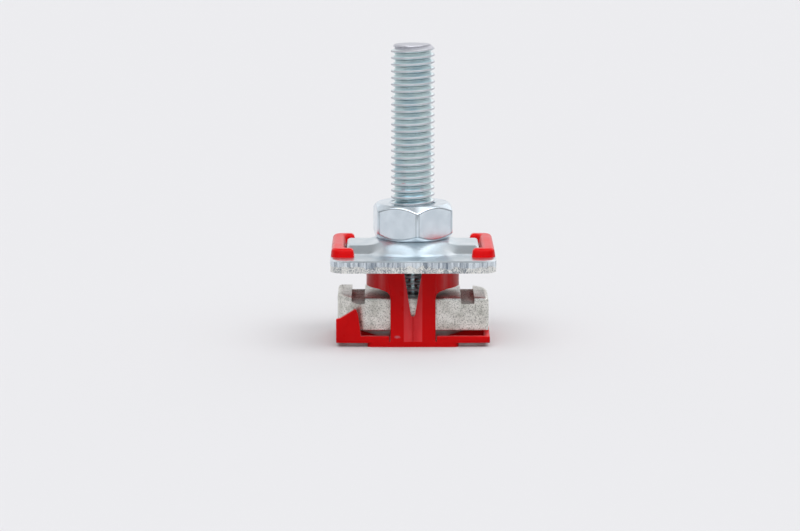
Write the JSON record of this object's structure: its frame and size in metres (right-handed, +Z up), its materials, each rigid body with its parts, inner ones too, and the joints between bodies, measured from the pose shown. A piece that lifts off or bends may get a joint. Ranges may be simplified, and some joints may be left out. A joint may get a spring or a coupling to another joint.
{
  "type": "strut quick fastener",
  "caption": "Pre-assembled strut channel fastener: a threaded stud with hexagon nut, pressed clamp plate, toothed hammer-head channel nut and a moulded red spring cage.",
  "frame": {"origin": "middle of the spring cage's underside, on the stud's axis", "axes": "+Z up along the stud, channel lips pass along Y, the front with the left-hand corner horn faces -Y, +X to the right"},
  "size_m": [0.037, 0.035, 0.0671],
  "materials": {
    "stud_zinc": "bright blue zinc on rolled steel thread",
    "nut_zinc": "bright zinc on cold formed steel",
    "plate_zinc": "bright zinc on pressed sheet with a sheared edge",
    "head_zinc": "pale zinc with a grainy sheared face",
    "red_plastic": "semi-gloss red moulded plastic"
  },
  "bodies": {
    "fastener": {"threaded_stud": "stud_zinc", "clamp_plate": "plate_zinc", "channel_nut": "head_zinc", "spring_cage": "red_plastic"},
    "nut": {"hex_nut": "nut_zinc"}
  },
  "joints": [
    {"name": "nut_turn", "type": "hinge", "parent": "fastener", "child": "nut", "pos_m": [0, 0, 0.02332], "axis": [0, 0, 1], "continuous": true}
  ]
}
